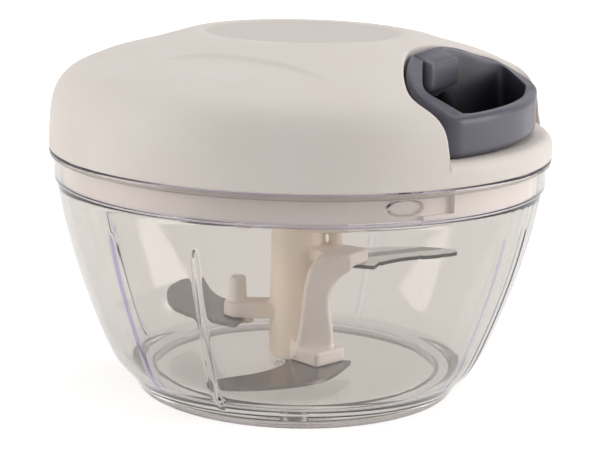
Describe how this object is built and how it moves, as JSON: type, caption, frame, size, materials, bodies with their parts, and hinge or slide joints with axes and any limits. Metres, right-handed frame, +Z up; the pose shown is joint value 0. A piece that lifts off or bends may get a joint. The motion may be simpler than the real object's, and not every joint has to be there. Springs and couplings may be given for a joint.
{
  "type": "vegetable chopper",
  "caption": "Hand-pulled vegetable chopper: clear round bowl, domed lid with a pull-cord handle in a notch, and a blade set on a centre pin.",
  "frame": {"origin": "middle of the bowl's foot, on the table, on the blade set's axis", "axes": "+Z up along the blade set's axis; +X is the way the handle is pulled out"},
  "size_m": [0.13, 0.13, 0.0944],
  "materials": {
    "clear_plastic": "clear, polished",
    "lid_plastic": "fine satin",
    "handle_plastic": "satin",
    "cream_plastic": "smooth moulded",
    "blade_steel": "polished sheet",
    "steel": "plain",
    "seal_rubber": "smooth",
    "cord": "braided"
  },
  "bodies": {
    "bowl": {"bowl": "clear_plastic", "centre_pin": "steel"},
    "seal_ring": {"seal_ring": "seal_rubber"},
    "lid": {"lid_cover": "lid_plastic", "lid_base": "lid_plastic", "lid_screws": "steel", "mechanism_housing": "lid_plastic", "housing_screws": "steel", "spring_cover": "steel", "recoil_spring": "steel", "spool_axle": "steel", "axle_clip": "steel", "cord_guide": "steel", "cord_run": "cord"},
    "handle": {"handle_grip": "handle_plastic", "cord_knot": "cord"},
    "spool": {"spool": "cream_plastic", "cord_winding": "cord"},
    "pawl_1": {"pawl_1": "cream_plastic"},
    "pawl_2": {"pawl_2": "cream_plastic"},
    "drive_hub": {"drive_hub": "cream_plastic"},
    "blades": {"blade_column": "cream_plastic", "blade_lower": "blade_steel", "blade_middle": "blade_steel", "blade_upper": "blade_steel"}
  },
  "joints": [
    {"name": "lid_lift", "type": "slide", "parent": "bowl", "child": "seal_ring", "axis": [0, 0, 1], "range_m": [0, 0.09]},
    {"name": "lid_turn", "type": "hinge", "parent": "seal_ring", "child": "lid", "pos_m": [0, 0, 0.06], "axis": [0, 0, 1], "range_deg": [-8, 0]},
    {"name": "handle_pull", "type": "slide", "parent": "lid", "child": "handle", "axis": [1, 0, 0], "range_m": [0, 0.3], "stiffness_N_per_m": 20, "springref_m": -0.1, "deforming": ["cord_run"]},
    {"name": "spool_spin", "type": "hinge", "parent": "lid", "child": "spool", "pos_m": [0, 0, 0.079], "axis": [0, 0, 1], "range_deg": [0, 955], "deforming": ["recoil_spring"]},
    {"name": "hub_spin", "type": "hinge", "parent": "lid", "child": "drive_hub", "pos_m": [0, 0, 0.068], "axis": [0, 0, 1], "range_deg": [0, 955]},
    {"name": "blade_spin", "type": "hinge", "parent": "bowl", "child": "blades", "pos_m": [0, 0, 0.03], "axis": [0, 0, 1], "range_deg": [0, 955]},
    {"name": "pawl_1_tilt", "type": "hinge", "parent": "spool", "child": "pawl_1", "pos_m": [0.0086, 0, 0.071], "axis": [0, 0, 1], "range_deg": [0, 12]},
    {"name": "pawl_2_tilt", "type": "hinge", "parent": "spool", "child": "pawl_2", "pos_m": [-0.0086, 0, 0.071], "axis": [0, 0, 1], "range_deg": [0, 12]}
  ],
  "couplings": [
    {"joint": "spool_spin", "follows": "handle_pull", "rad_per_m": 55.556},
    {"joint": "hub_spin", "follows": "handle_pull", "rad_per_m": 55.556},
    {"joint": "blade_spin", "follows": "handle_pull", "rad_per_m": 55.556}
  ]
}
